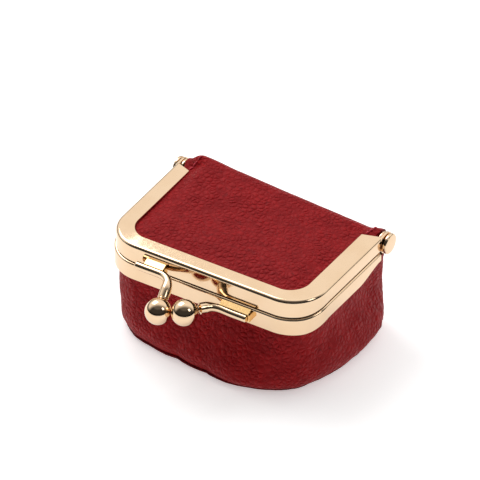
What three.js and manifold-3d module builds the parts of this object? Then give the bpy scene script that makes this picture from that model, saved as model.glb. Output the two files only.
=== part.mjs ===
// Kiss-lock coin purse: a shallow leather box with a hinged leather lid, each held in a gold metal frame.
// Millimetres, +Z up, +X to the right, +Y to the back. The base rests on Z = 0 at the origin.
import * as THREE from "three";
import { mergeVertices } from "three/addons/utils/BufferGeometryUtils.js";
import Module from "manifold-3d";

const wasm = await Module();
wasm.setup();

// Frame outlines, seen from above: a U that is open at the back.
const UPPER_HALF_WIDTH = 40;
const UPPER_FRONT_Y = -25;
const UPPER_CORNER_R = 13;
const LOWER_HALF_WIDTH = 40.6;
const LOWER_FRONT_Y = -25.6;
const LOWER_CORNER_R = 13.5;
const ARM_SPLAY = 0.012;
const FLANGE_END_Y = 22.5;
const CHANNEL_END_Y = 21.2;

// Hinge: its axis runs along X through both arms' ears.
const HINGE_Y = 25.7;
const HINGE_Z = 34;
const PIN_R = 1.5;
const PIN_HOLE_R = 1.55;
const UPPER_EAR_R = 3.8;
const LOWER_EAR_R = 3.6;
const LOWER_EAR_X = 38.5;
const LOWER_EAR_THICKNESS = 0.8;

// Upper frame section.
const SHEET = 0.9;
const UPPER_TOP_Z = 38;
const UPPER_BAND_BOTTOM_Z = 31.4;
const SEAT_TOP_Z = 34.6;
const SEAT_THICKNESS = 0.8;
const FLANGE_RISE = 0.6;
const FLANGE_FRONT = 5.5;
const FLANGE_SIDE = 6.6;
const FLANGE_SKEW = 0.45;

// Lower frame section.
const LOWER_TOP_Z = 31;
const LOWER_BAND_BOTTOM_Z = 24.6;
const LOWER_SHEET = 0.8;
const CHANNEL_DEPTH = 4;
const INNER_LEG = 4.2;
const SIDE_RISE = 1.4;
const BAND_SIDE_RISE = 2.4;
const BAND_END_RISE = 2.6;

// Leather, board and lining.
const LEATHER = 1.1;
const BOARD = 0.7;
const LINING = 0.3;
const PLY_GAP = 0.1;
const WALL_GAP = 0.3;
const LID_EDGE_INSET = 3;
const LID_EDGE_Z = 37.1;
const LID_REAR_Y = 21;
const FOLD_HALF_WIDTH = 36.2;
const BACK_HALF_WIDTH = 34.2;
const STITCH_X = 33.6;
const STITCH_FRONT_Y = 17.2;
const STITCH_REAR_Y = 19.3;
const BASE_THICKNESS = 1.1;
const BASE_BOARD_Z = 1.4;
const BASE_LINING_Z = 2.7;
const SEAM_MARGIN = 0.3;
const SEAM_Z = 0.7;
const INNER_FRONT_R = 10;
const INNER_BACK_R = 3;

// Outer surface of the leather over the hinge and down the back, as [y, z].
const FOLD_CURVE = [
  [21.4, 40.05],
  [23.4, 40.4],
  [25.6, 40.5],
  [27.6, 39.8],
  [29, 38],
  [29.7, 35.2],
  [29.6, 32.4],
  [29.4, 30.6],
];
const BACK_CURVE = [
  [29.3, 30.2],
  [28.9, 24],
  [28.7, 17],
  [28.7, 10],
  [28.4, 5],
  [27, 2.2],
  [25.6, 1.5],
];

// Outer surface of the wall from the channel down to the base seam, as [inset from the lower frame, z].
const CHANNEL = null;
const FRONT_WALL = [
  [1.1, CHANNEL],
  [1.1, 25.6],
  [0.5, 22],
  [-0.9, 17],
  [-2.6, 12],
  [-3.7, 7.5],
  [-3.7, 4.2],
  [-2.6, 2.2],
  [-0.8, 1.5],
];
const SIDE_WALL = [
  [1.1, CHANNEL],
  [1.15, 28],
  [1.5, 23],
  [1.5, 17],
  [1.1, 12],
  [0.8, 7.5],
  [1, 4.4],
  [2.2, 2.3],
  [3.9, 1.5],
];
const BACK_WALL_INSETS = [1.15, 1.3, 1.55, 1.7, 1.7, 1.8, 2.2, 3.4, 4.8];
const WALL_BACK_Y = 30.4;
const WALL_BACK_R = 6.7;
const CHANNEL_SEAT_DEPTH = 2.35;

// Clasp.
const WIRE_R = 1.4;
const BALL_R = 4.55;
const UPPER_WIRE_LEVEL = [-27.5, 32.9];
const LOWER_WIRE_LEVEL = [-28.1, 28.3];
const UPPER_BALL = [-8.6, -39, 27.4];
const LOWER_BALL = [0.4, -37, 29.2];
const UPPER_WIRE = [
  [-24.3, ...UPPER_WIRE_LEVEL],
  [-20.2, ...UPPER_WIRE_LEVEL],
  [-16.6, -27.5, 32.95],
  [-13.6, -27.8, 33],
  [-11.2, -29.3, 32.7],
  [-9.9, -32.3, 31.3],
  UPPER_BALL,
];
const LOWER_WIRE = [
  [18.8, ...LOWER_WIRE_LEVEL],
  [13, ...LOWER_WIRE_LEVEL],
  [8, -28.1, 28.4],
  [5.2, -29.4, 28.5],
  [2.9, -32.4, 28.8],
  LOWER_BALL,
];

const COLOURS = {
  gold: [0xe3bd84, 0.18, 1],
  leather: [0x7d1a22, 0.55, 0],
  lining: [0x5a1a20, 0.9, 0],
  board: [0xb9a585, 0.9, 0],
  cord: [0xcbb48c, 0.9, 0],
  thread: [0xb01828, 0.6, 0],
};

const group = new THREE.Group();
group.name = "coin_purse";

function smooth(value, low, high) {
  const t = Math.min(1, Math.max(0, (value - low) / (high - low)));
  return t * t * (3 - 2 * t);
}

function mix(a, b, t) {
  return a + (b - a) * t;
}

// Turns points and triangles into a geometry whose faces look outwards.
function closedGeometry(points, triangles) {
  const index = triangles.flat();
  let volume = 0;
  for (const [a, b, c] of triangles) {
    const [p, q, r] = [points[a], points[b], points[c]].map((v) => new THREE.Vector3(...v));
    volume += p.dot(q.cross(r));
  }
  if (volume < 0) index.reverse();
  const geometry = new THREE.BufferGeometry();
  geometry.setAttribute("position", new THREE.Float32BufferAttribute(points.flat(), 3));
  geometry.setIndex(index);
  return geometry;
}

function toSolid(geometry) {
  const bare = geometry.clone();
  bare.deleteAttribute("normal");
  bare.deleteAttribute("uv");
  const merged = mergeVertices(bare, 1e-4);
  return new wasm.Manifold(
    new wasm.Mesh({
      numProp: 3,
      vertProperties: new Float32Array(merged.attributes.position.array),
      triVerts: new Uint32Array(merged.index.array),
    }),
  );
}

function fromSolid(solid) {
  const mesh = solid.getMesh();
  const geometry = new THREE.BufferGeometry();
  geometry.setAttribute("position", new THREE.BufferAttribute(new Float32Array(mesh.vertProperties), 3));
  geometry.setIndex(new THREE.BufferAttribute(new Uint32Array(mesh.triVerts), 1));
  return geometry;
}

function addNode(name, geometry, colour) {
  const [hex, roughness, metalness] = COLOURS[colour];
  const flat = geometry.index ? geometry.toNonIndexed() : geometry;
  flat.computeVertexNormals();
  const material = new THREE.MeshStandardMaterial({ color: hex, roughness, metalness });
  const mesh = new THREE.Mesh(flat, material);
  mesh.name = name;
  group.add(mesh);
}

// Stations along a U outline, from the left arm's back end round the front to the right arm's back end.
function armOutline(halfWidth, frontY, radius, backY) {
  const stations = [];
  const armSteps = 5;
  const cornerSteps = 6;
  const frontSteps = 4;
  const station = (x, y, nx, ny) => stations.push({ x, y, nx, ny });
  const armX = (y) => halfWidth + ARM_SPLAY * Math.max(0, y - frontY - radius);
  for (let i = 0; i < armSteps; i += 1) {
    const y = mix(backY, frontY + radius, i / armSteps);
    station(-armX(y), y, -1, 0);
  }
  for (let i = 0; i <= cornerSteps; i += 1) {
    const a = ((Math.PI / 2) * i) / cornerSteps;
    const [nx, ny] = [-Math.cos(a), -Math.sin(a)];
    station(-halfWidth + radius + radius * nx, frontY + radius + radius * ny, nx, ny);
  }
  for (let i = 1; i < frontSteps; i += 1) {
    station(mix(-1, 1, i / frontSteps) * (halfWidth - radius), frontY, 0, -1);
  }
  for (let i = cornerSteps; i >= 0; i -= 1) {
    const a = ((Math.PI / 2) * i) / cornerSteps;
    const [nx, ny] = [Math.cos(a), -Math.sin(a)];
    station(halfWidth - radius + radius * nx, frontY + radius + radius * ny, nx, ny);
  }
  for (let i = armSteps - 1; i >= 0; i -= 1) {
    const y = mix(backY, frontY + radius, i / armSteps);
    station(armX(y), y, 1, 0);
  }
  return stations;
}

// The same outline with both arms turned inwards at the back by a quarter circle.
function wrappedOutline(halfWidth, frontY, radius, backY, backRadius) {
  const arms = armOutline(halfWidth, frontY, radius, backY - backRadius);
  const turn = [];
  const last = arms[arms.length - 1];
  const steps = 4;
  for (let i = 1; i <= steps; i += 1) {
    const a = ((Math.PI / 2) * i) / steps;
    const [nx, ny] = [Math.cos(a), Math.sin(a)];
    turn.push({ x: last.x - backRadius + backRadius * nx, y: last.y + backRadius * ny, nx, ny });
  }
  const mirrored = turn.map((s) => ({ x: -s.x, y: s.y, nx: -s.nx, ny: s.ny })).reverse();
  return [...mirrored, ...arms, ...turn];
}

// Sweeps a closed section of [inset, z] points along the stations and caps both ends.
function sweepSection(stations, sectionAt) {
  const points = [];
  const triangles = [];
  const count = sectionAt(stations[0], 0).length;
  stations.forEach((s, i) => {
    for (const [inset, z, slide = 0] of sectionAt(s, i)) {
      points.push([s.x - s.nx * inset - s.ny * slide, s.y - s.ny * inset + Math.abs(s.nx) * slide, z]);
    }
  });
  for (let i = 0; i + 1 < stations.length; i += 1) {
    for (let j = 0; j < count; j += 1) {
      const a = i * count + j;
      const b = i * count + ((j + 1) % count);
      triangles.push([a, b, b + count], [a, b + count, a + count]);
    }
  }
  const capped = (at, flip) => {
    const contour = sectionAt(stations[at], at).map(([inset, z]) => new THREE.Vector2(inset, z));
    for (const face of THREE.ShapeUtils.triangulateShape(contour, [])) {
      const [a, b, c] = face.map((k) => at * count + k);
      triangles.push(flip ? [c, b, a] : [a, b, c]);
    }
  };
  const clockwise = THREE.ShapeUtils.isClockWise(
    sectionAt(stations[0], 0).map(([inset, z]) => new THREE.Vector2(inset, z)),
  );
  capped(0, !clockwise);
  capped(stations.length - 1, clockwise);
  return closedGeometry(points, triangles);
}

// A closed sheet between two grids of points with the same rows and columns.
function sheetSolid(top, bottom) {
  const rows = top.length;
  const columns = top[0].length;
  const points = [...top.flat(), ...bottom.flat()];
  const under = rows * columns;
  const at = (r, c) => r * columns + c;
  const triangles = [];
  const quad = (a, b, c, d) => triangles.push([a, b, c], [a, c, d]);
  for (let r = 0; r + 1 < rows; r += 1) {
    for (let c = 0; c + 1 < columns; c += 1) {
      quad(at(r, c), at(r, c + 1), at(r + 1, c + 1), at(r + 1, c));
      quad(under + at(r, c), under + at(r + 1, c), under + at(r + 1, c + 1), under + at(r, c + 1));
    }
  }
  for (let c = 0; c + 1 < columns; c += 1) {
    quad(at(0, c + 1), at(0, c), under + at(0, c), under + at(0, c + 1));
    quad(at(rows - 1, c), at(rows - 1, c + 1), under + at(rows - 1, c + 1), under + at(rows - 1, c));
  }
  const last = columns - 1;
  for (let r = 0; r + 1 < rows; r += 1) {
    quad(at(r, 0), at(r + 1, 0), under + at(r + 1, 0), under + at(r, 0));
    quad(at(r + 1, last), at(r, last), under + at(r, last), under + at(r + 1, last));
  }
  return closedGeometry(points, triangles);
}

// A round bar along a smooth curve through the points; its radius follows radiusAt(0..1).
function roundBar(path, radiusAt, steps, sides) {
  const curve = new THREE.CatmullRomCurve3(path.map((p) => new THREE.Vector3(...p)), false, "centripetal");
  const frames = curve.computeFrenetFrames(steps, false);
  const points = [];
  const triangles = [];
  for (let i = 0; i <= steps; i += 1) {
    const centre = curve.getPointAt(i / steps);
    for (let j = 0; j < sides; j += 1) {
      const a = (2 * Math.PI * j) / sides;
      const p = centre.clone();
      p.addScaledVector(frames.normals[i], radiusAt(i / steps) * Math.cos(a));
      p.addScaledVector(frames.binormals[i], radiusAt(i / steps) * Math.sin(a));
      points.push([p.x, p.y, p.z]);
    }
  }
  for (let i = 0; i < steps; i += 1) {
    for (let j = 0; j < sides; j += 1) {
      const [a, b] = [i * sides + j, i * sides + ((j + 1) % sides)];
      triangles.push([a, b, b + sides], [a, b + sides, a + sides]);
    }
  }
  for (let j = 1; j + 1 < sides; j += 1) {
    triangles.push([0, j + 1, j]);
    triangles.push([steps * sides, steps * sides + j, steps * sides + j + 1]);
  }
  return closedGeometry(points, triangles);
}

// A plate in the YZ plane between two X positions, from a list of [y, z] points.
function sidePlate(outline, xLow, xHigh) {
  const shape = new THREE.Shape(outline.map(([y, z]) => new THREE.Vector2(y, z)));
  const plate = new THREE.ExtrudeGeometry(shape, { depth: xHigh - xLow, bevelEnabled: false });
  const turned = new THREE.Matrix4().set(0, 0, 1, xLow, 1, 0, 0, 0, 0, 1, 0, 0, 0, 0, 0, 1);
  return plate.applyMatrix4(turned);
}

function block(low, high) {
  const size = high.map((v, i) => v - low[i]);
  const box = new THREE.BoxGeometry(...size);
  return box.translate(...low.map((v, i) => v + size[i] / 2));
}

// A turned piece about the hinge axis on one side; the profile is [radius, distance from the middle].
function turnedOnHinge(profile, side) {
  const lathe = new THREE.LatheGeometry(profile.map(([r, x]) => new THREE.Vector2(r, x)), 28);
  lathe.rotateZ(-Math.PI / 2);
  lathe.translate(0, HINGE_Y, HINGE_Z);
  if (side < 0) lathe.rotateZ(Math.PI).translate(0, 2 * HINGE_Y, 0);
  return lathe;
}

function hingeHole() {
  const length = 100;
  const pin = new THREE.CylinderGeometry(PIN_HOLE_R, PIN_HOLE_R, length, 28);
  return toSolid(pin.rotateZ(Math.PI / 2).translate(0, HINGE_Y, HINGE_Z));
}

// Outline of an ear: the given [y, z] corner points run into a circle about the hinge axis.
function earOutline(lead, radius, from, to) {
  const outline = [...lead];
  const steps = 14;
  for (let i = 0; i <= steps; i += 1) {
    const a = mix(from, to, i / steps);
    outline.push([HINGE_Y + radius * Math.cos(a), HINGE_Z + radius * Math.sin(a)]);
  }
  return outline;
}

// How far the sides of both bands stand above their front, 0 at the front and 1 along the arms.
function sideShare(y) {
  return smooth(y, LOWER_FRONT_Y + 3, LOWER_FRONT_Y + 15);
}

function flangeWidth(station) {
  return mix(FLANGE_FRONT, FLANGE_SIDE, Math.abs(station.nx));
}

function upperFrame() {
  const stations = armOutline(UPPER_HALF_WIDTH, UPPER_FRONT_Y, UPPER_CORNER_R, FLANGE_END_Y);
  const lean = (s, inset) => -FLANGE_SKEW * inset * smooth(s.y, FLANGE_END_Y - 5, FLANGE_END_Y);
  const section = (s) => {
    const width = flangeWidth(s);
    const bottom = UPPER_BAND_BOTTOM_Z + SIDE_RISE * sideShare(s.y);
    const seatWidth = width - 1;
    const tip = UPPER_TOP_Z + FLANGE_RISE;
    const at = (inset, z) => [inset, z, lean(s, Math.max(0, inset - SHEET))];
    return [
      at(0, bottom + 0.25),
      at(0, UPPER_TOP_Z - 1),
      at(0.08, UPPER_TOP_Z - 0.55),
      at(0.32, UPPER_TOP_Z - 0.2),
      at(0.75, UPPER_TOP_Z),
      at(width - 0.3, tip),
      at(width, tip - 0.3),
      at(width, tip - SHEET + 0.1),
      at(1, UPPER_TOP_Z - SHEET + 0.1),
      at(SHEET, UPPER_TOP_Z - SHEET),
      at(SHEET, SEAT_TOP_Z),
      at(seatWidth, SEAT_TOP_Z),
      at(seatWidth, SEAT_TOP_Z - SEAT_THICKNESS),
      at(SHEET, SEAT_TOP_Z - SEAT_THICKNESS),
      at(SHEET, bottom),
      at(0.25, bottom),
    ];
  };
  const seatEndY = 16;
  const dropWidth = 7;
  const bandBottom = UPPER_BAND_BOTTOM_Z + SIDE_RISE;
  const earX = UPPER_HALF_WIDTH + ARM_SPLAY * (HINGE_Y - UPPER_FRONT_Y - UPPER_CORNER_R);
  const lead = [[FLANGE_END_Y - 1, bandBottom + 0.1], [FLANGE_END_Y - 0.2, bandBottom]];
  const outline = earOutline(lead, UPPER_EAR_R, Math.PI * 1.12, Math.PI * 2.5);
  outline.push([FLANGE_END_Y - 1, HINGE_Z + UPPER_EAR_R]);
  // Behind the lid's corners the inner seat stops, so the leather can pass over to the back.
  const drops = [-1, 1].map((side) =>
    toSolid(
      block(
        [side < 0 ? -earX + SHEET : earX - SHEET - dropWidth, seatEndY, bandBottom - 1],
        [side < 0 ? -earX + SHEET + dropWidth : earX - SHEET, FLANGE_END_Y + 1, UPPER_TOP_Z - SHEET - 0.05],
      ),
    ),
  );
  let solid = toSolid(sweepSection(stations, section));
  for (const drop of drops) solid = solid.subtract(drop);
  for (const side of [-1, 1]) {
    const [low, high] = side < 0 ? [-earX, -earX + SHEET] : [earX - SHEET, earX];
    solid = solid.add(toSolid(sidePlate(outline, low, high)));
  }
  return fromSolid(solid.subtract(hingeHole()));
}

function lowerTop(s) {
  return LOWER_TOP_Z + SIDE_RISE * sideShare(s.y);
}

function lowerFrame() {
  const stations = armOutline(LOWER_HALF_WIDTH, LOWER_FRONT_Y, LOWER_CORNER_R, CHANNEL_END_Y);
  const section = (s) => {
    const top = lowerTop(s);
    const endRise = BAND_END_RISE * smooth(s.y, CHANNEL_END_Y - 14, CHANNEL_END_Y);
    const bottom = LOWER_BAND_BOTTOM_Z + BAND_SIDE_RISE * sideShare(s.y) + endRise;
    const leg = Math.max(top - INNER_LEG, bottom + 0.2);
    return [
      [0.2, bottom],
      [0, bottom + 0.2],
      [0, top - 0.7],
      [0.15, top - 0.25],
      [0.55, top],
      [CHANNEL_DEPTH - 0.4, top],
      [CHANNEL_DEPTH, top - 0.4],
      [CHANNEL_DEPTH, leg],
      [CHANNEL_DEPTH - 0.6, leg],
      [CHANNEL_DEPTH - 0.6, top - LOWER_SHEET],
      [LOWER_SHEET, top - LOWER_SHEET],
      [LOWER_SHEET, bottom],
    ];
  };
  const lead = [
    [CHANNEL_END_Y - 4, LOWER_TOP_Z + SIDE_RISE - 0.1],
    [CHANNEL_END_Y - 3.8, LOWER_TOP_Z + SIDE_RISE - 0.7],
    [CHANNEL_END_Y, HINGE_Z - 3.4],
  ];
  const outline = earOutline(lead, LOWER_EAR_R, Math.PI * 1.5, Math.PI * 2.75);
  let solid = toSolid(sweepSection(stations, section));
  for (const side of [-1, 1]) {
    const inner = side * LOWER_EAR_X;
    const outer = side * (LOWER_EAR_X + LOWER_EAR_THICKNESS);
    solid = solid.add(toSolid(sidePlate(outline, Math.min(inner, outer), Math.max(inner, outer))));
  }
  return fromSolid(solid.subtract(hingeHole()));
}

// A paper cord packed into a frame's channel beside the leather edge.
function paperCord(stations, inset, radius, heightAt) {
  const sides = 8;
  return sweepSection(stations, (s) => {
    const ring = [];
    for (let i = 0; i < sides; i += 1) {
      const a = (2 * Math.PI * i) / sides;
      ring.push([inset + radius * Math.cos(a), heightAt(s) + radius * Math.sin(a)]);
    }
    return ring;
  });
}

function upperPaperCord() {
  const endY = 15.5;
  const stations = armOutline(UPPER_HALF_WIDTH, UPPER_FRONT_Y, UPPER_CORNER_R, endY);
  return paperCord(stations, 1.95, 0.85, () => (SEAT_TOP_Z + UPPER_TOP_Z - SHEET) / 2);
}

function lowerPaperCord() {
  const stations = armOutline(LOWER_HALF_WIDTH, LOWER_FRONT_Y, LOWER_CORNER_R, CHANNEL_END_Y - 5);
  return paperCord(stations, 2.1, 0.6, (s) => lowerTop(s) - LOWER_SHEET - 0.75);
}

// Half width of the lid panel at a Y position, measured to its edge inside the frame channel.
function lidHalfWidth(y, inset) {
  const radius = UPPER_CORNER_R - inset;
  const cornerY = UPPER_FRONT_Y + UPPER_CORNER_R;
  const straight = UPPER_HALF_WIDTH - inset + ARM_SPLAY * Math.max(0, y - cornerY);
  if (y >= cornerY) return straight;
  const reach = Math.min(radius, cornerY - y);
  return UPPER_HALF_WIDTH - UPPER_CORNER_R + Math.sqrt(radius * radius - reach * reach);
}

// Distance inwards from the upper frame's outline at a point of the lid.
function lidInset(x, y) {
  const cornerX = UPPER_HALF_WIDTH - UPPER_CORNER_R;
  const cornerY = UPPER_FRONT_Y + UPPER_CORNER_R;
  if (Math.abs(x) > cornerX && y < cornerY) {
    return UPPER_CORNER_R - Math.hypot(Math.abs(x) - cornerX, cornerY - y);
  }
  return Math.min(lidHalfWidth(y, 0) - Math.abs(x), y - UPPER_FRONT_Y);
}

// Height of the lid leather's outer surface: flat in the channel, crowned inside it, higher at the back.
function lidTopZ(x, y) {
  const inset = lidInset(x, y);
  const lip = 0.5 * smooth(inset, LID_EDGE_INSET, FLANGE_SIDE + 0.6);
  const crown = 1.4 * smooth(inset, FLANGE_SIDE, 17);
  const rear = 1.5 * smooth(y, 2, LID_REAR_Y);
  return LID_EDGE_Z + lip + crown + rear * smooth(inset, FLANGE_SIDE, 13);
}

// One ply of the lid, between two depths under the leather's outer surface.
function lidPly(depth, thickness) {
  const columns = [-1, -0.9, -0.77, -0.52, -0.26, 0, 0.26, 0.52, 0.77, 0.9, 1];
  const frontY = UPPER_FRONT_Y + LID_EDGE_INSET;
  const rows = [0.03, 0.9, 2.2, 4, 6.5, 9.5, 15, 24, 33];
  const steps = rows.map((d) => frontY + d);
  steps.push(LID_REAR_Y);
  const layer = (drop) =>
    steps.map((y) => {
      const half = lidHalfWidth(y, LID_EDGE_INSET);
      return columns.map((share) => [half * share, y, lidTopZ(half * share, y) - drop]);
    });
  return sheetSolid(layer(depth), layer(depth + thickness));
}

// One stitch of the short thread run beside a hinge, lying on the lid leather.
function lidStitch(side, startY) {
  const length = 1.5;
  const radius = 0.16;
  const clearance = 0.3;
  const x = side * STITCH_X;
  const lift = radius + clearance;
  const points = [0, 0.5, 1].map((t) => {
    const y = startY + t * length;
    return [x, y, lidTopZ(x, Math.min(y, LID_REAR_Y)) + lift];
  });
  return roundBar(points, () => radius, 4, 6);
}

// A strip across the purse that follows a [y, z] curve; its thickness lies on the curve's inner side.
function crossStrip(curve, half, thickness, depth = 0) {
  const columns = 4;
  const knots = curve.map(([y, z]) => new THREE.Vector3(0, y, z));
  const line = new THREE.CatmullRomCurve3(knots, false, "centripetal");
  const steps = 12;
  const layer = (drop) =>
    Array.from({ length: steps + 1 }, (_, i) => {
      const p = line.getPointAt(i / steps);
      const along = line.getTangentAt(i / steps);
      return Array.from({ length: columns + 1 }, (_c, c) => {
        const x = half * mix(-1, 1, c / columns);
        return [x, p.y + along.z * drop, p.z - along.y * drop];
      });
    });
  return sheetSolid(layer(depth), layer(depth + thickness));
}

function hingeFoldLeather() {
  return crossStrip(FOLD_CURVE, FOLD_HALF_WIDTH, LEATHER);
}

function backLeather() {
  return crossStrip(BACK_CURVE, BACK_HALF_WIDTH, LEATHER);
}

function backLining() {
  const lowestZ = 4;
  const curve = BACK_CURVE.filter(([, z]) => z > lowestZ);
  return crossStrip(curve, BACK_HALF_WIDTH - 1, LINING, LEATHER + WALL_GAP);
}

function wallOutline() {
  return wrappedOutline(LOWER_HALF_WIDTH, LOWER_FRONT_Y, LOWER_CORNER_R, WALL_BACK_Y, WALL_BACK_R);
}

// The front is fullest in the middle and eases towards the corners.
function frontShare(s) {
  return smooth(-s.ny, 0.15, 1) * (1 - 0.25 * smooth(Math.abs(s.x), 4, 26));
}

function wallProfile(s) {
  const share = frontShare(s);
  return SIDE_WALL.map(([sideInset, sideZ], k) => {
    const [frontInset, frontZ] = FRONT_WALL[k];
    const inset = mix(sideInset, BACK_WALL_INSETS[k], smooth(s.ny, 0, 1));
    const z = sideZ === CHANNEL ? lowerTop(s) - CHANNEL_SEAT_DEPTH : mix(sideZ, frontZ, share);
    return [mix(inset, frontInset, share), z];
  });
}

// The wall section between two depths under its outer surface, measured square to the profile.
function wallSection(profile, depth, thickness) {
  const offset = (drop) =>
    profile.map(([inset, z], k) => {
      const [i0, z0] = profile[Math.max(0, k - 1)];
      const [i1, z1] = profile[Math.min(profile.length - 1, k + 1)];
      const length = Math.hypot(i1 - i0, z1 - z0);
      return [inset + ((z0 - z1) / length) * drop, z + ((i1 - i0) / length) * drop];
    });
  return [...offset(depth), ...offset(depth + thickness).reverse()];
}

function frontSideLeather() {
  return sweepSection(wallOutline(), (s) => wallSection(wallProfile(s), 0, LEATHER));
}

function bodyLining() {
  return sweepSection(wallOutline(), (s) => {
    const profile = wallProfile(s).slice(0, -2);
    return wallSection(profile, LEATHER + WALL_GAP, LINING);
  });
}

// Plan outline of a base layer, drawn in from the seam line all round.
function baseShape(margin) {
  const outline = wallOutline().map((s) => {
    const profile = wallProfile(s);
    const inset = profile[profile.length - 1][0] + margin;
    return new THREE.Vector2(s.x - s.nx * inset, s.y - s.ny * inset);
  });
  return new THREE.Shape(outline);
}

function basePlate(margin, lowZ, thickness) {
  const plate = new THREE.ExtrudeGeometry(baseShape(margin), { depth: thickness, bevelEnabled: false });
  return plate.translate(0, 0, lowZ);
}

// A rounded rectangle that lies loose inside the base.
function innerPlate(halfWidth, frontY, backY, lowZ, thickness) {
  const points = wrappedOutline(halfWidth, frontY, INNER_FRONT_R, backY, INNER_BACK_R);
  const shape = new THREE.Shape(points.map((s) => new THREE.Vector2(s.x, s.y)));
  const plate = new THREE.ExtrudeGeometry(shape, { depth: thickness, bevelEnabled: false });
  return plate.translate(0, 0, lowZ);
}

function baseSeamWelt() {
  const radius = 0.5;
  const sides = 6;
  return sweepSection(wallOutline(), (s) => {
    const profile = wallProfile(s);
    const inset = profile[profile.length - 1][0] - radius - SEAM_MARGIN;
    return Array.from({ length: sides }, (_, i) => {
      const a = (2 * Math.PI * i) / sides;
      return [inset + radius * Math.cos(a), SEAM_Z + radius * Math.sin(a)];
    });
  });
}

function backSeam(side) {
  const x = side * (BACK_HALF_WIDTH + 0.15);
  const clear = 0.62;
  const path = BACK_CURVE.slice(0, 5).map(([y, z]) => [x, y + clear, z]);
  return roundBar(path, () => 0.4, 10, 6);
}

function hingeRivet(side) {
  const profile = [
    [0, 37.2],
    [1.9, 37.2],
    [2.3, 37.6],
    [2.3, 38.25],
    [PIN_R, 38.25],
    [PIN_R, 40.85],
    [3.35, 40.85],
    [3.65, 41.1],
    [3.65, 41.75],
    [3.4, 42.05],
    [2.4, 42.2],
    [0, 42.25],
  ];
  return turnedOnHinge(profile, side);
}

// A wire clasp arm with a collar that widens towards its ball.
function claspStem(path, ball, collarFrom) {
  const collarFlare = 0.75;
  const clearance = 0.06;
  const radiusAt = (t) => WIRE_R + collarFlare * smooth(t, collarFrom, 1);
  const arm = toSolid(roundBar(path, radiusAt, 22, 12));
  const seat = new THREE.SphereGeometry(BALL_R + clearance, 24, 14);
  return fromSolid(arm.subtract(toSolid(seat.translate(...ball))));
}

function claspBall(centre) {
  return new THREE.SphereGeometry(BALL_R, 24, 14).translate(...centre);
}

// A soldered foot: a plate against the band with a lip over the clasp wire.
function claspFoot(xLow, xHigh, bandY, wire, endPlate) {
  const [wireY, wireZ] = wire;
  const sheet = 0.6;
  const backY = bandY - 0.05;
  const bottomZ = wireZ - 1.5;
  const plateY = wireY + WIRE_R + 0.12;
  const lipZ = wireZ + WIRE_R + 0.15;
  const topZ = lipZ + sheet;
  const plate = block([xLow, plateY, bottomZ], [xHigh, backY, topZ]);
  const lip = block([xLow, wireY - 0.2, lipZ], [xHigh, backY, topZ]);
  const foot = toSolid(plate).add(toSolid(lip));
  if (!endPlate) return fromSolid(foot);
  const end = block([xHigh - 0.1, wireY - 0.4, bottomZ], [xHigh + sheet, backY, topZ]);
  return fromSolid(foot.add(toSolid(end)));
}

addNode("upper_frame", upperFrame(), "gold");
addNode("upper_paper_cord", upperPaperCord(), "cord");
addNode("lid_leather", lidPly(0, LEATHER), "leather");
addNode("lid_board", lidPly(LEATHER + PLY_GAP, BOARD), "board");
addNode("lid_lining", lidPly(LEATHER + BOARD + 2 * PLY_GAP, LINING), "lining");
addNode("lid_stitch_left_front", lidStitch(-1, STITCH_FRONT_Y), "thread");
addNode("lid_stitch_left_rear", lidStitch(-1, STITCH_REAR_Y), "thread");
addNode("lid_stitch_right_front", lidStitch(1, STITCH_FRONT_Y), "thread");
addNode("lid_stitch_right_rear", lidStitch(1, STITCH_REAR_Y), "thread");
addNode("upper_clasp_foot", claspFoot(-22.6, -15.2, UPPER_FRONT_Y, UPPER_WIRE_LEVEL, false), "gold");
addNode("upper_clasp_stem", claspStem(UPPER_WIRE, UPPER_BALL, 0.68), "gold");
addNode("upper_clasp_ball", claspBall(UPPER_BALL), "gold");
addNode("lower_frame", lowerFrame(), "gold");
addNode("lower_paper_cord", lowerPaperCord(), "cord");
addNode("front_side_leather", frontSideLeather(), "leather");
addNode("back_leather", backLeather(), "leather");
addNode("base_leather", basePlate(SEAM_MARGIN, 0, BASE_THICKNESS), "leather");
addNode("base_seam_welt", baseSeamWelt(), "leather");
addNode("base_board", innerPlate(34, -22.4, 24.2, BASE_BOARD_Z, 1), "board");
addNode("base_lining", innerPlate(34.2, -22.6, 24.4, BASE_LINING_Z, LINING), "lining");
addNode("body_lining", bodyLining(), "lining");
addNode("back_lining", backLining(), "lining");
addNode("hinge_fold_leather", hingeFoldLeather(), "leather");
addNode("back_seam_left", backSeam(-1), "thread");
addNode("back_seam_right", backSeam(1), "thread");
addNode("hinge_rivet_left", hingeRivet(-1), "gold");
addNode("hinge_rivet_right", hingeRivet(1), "gold");
addNode("lower_clasp_foot", claspFoot(8, 19.2, LOWER_FRONT_Y, LOWER_WIRE_LEVEL, true), "gold");
addNode("lower_clasp_stem", claspStem(LOWER_WIRE, LOWER_BALL, 0.72), "gold");
addNode("lower_clasp_ball", claspBall(LOWER_BALL), "gold");

export default group;
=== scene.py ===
import math

import bpy
import numpy as np
from mathutils import Matrix, Vector, noise


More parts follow.
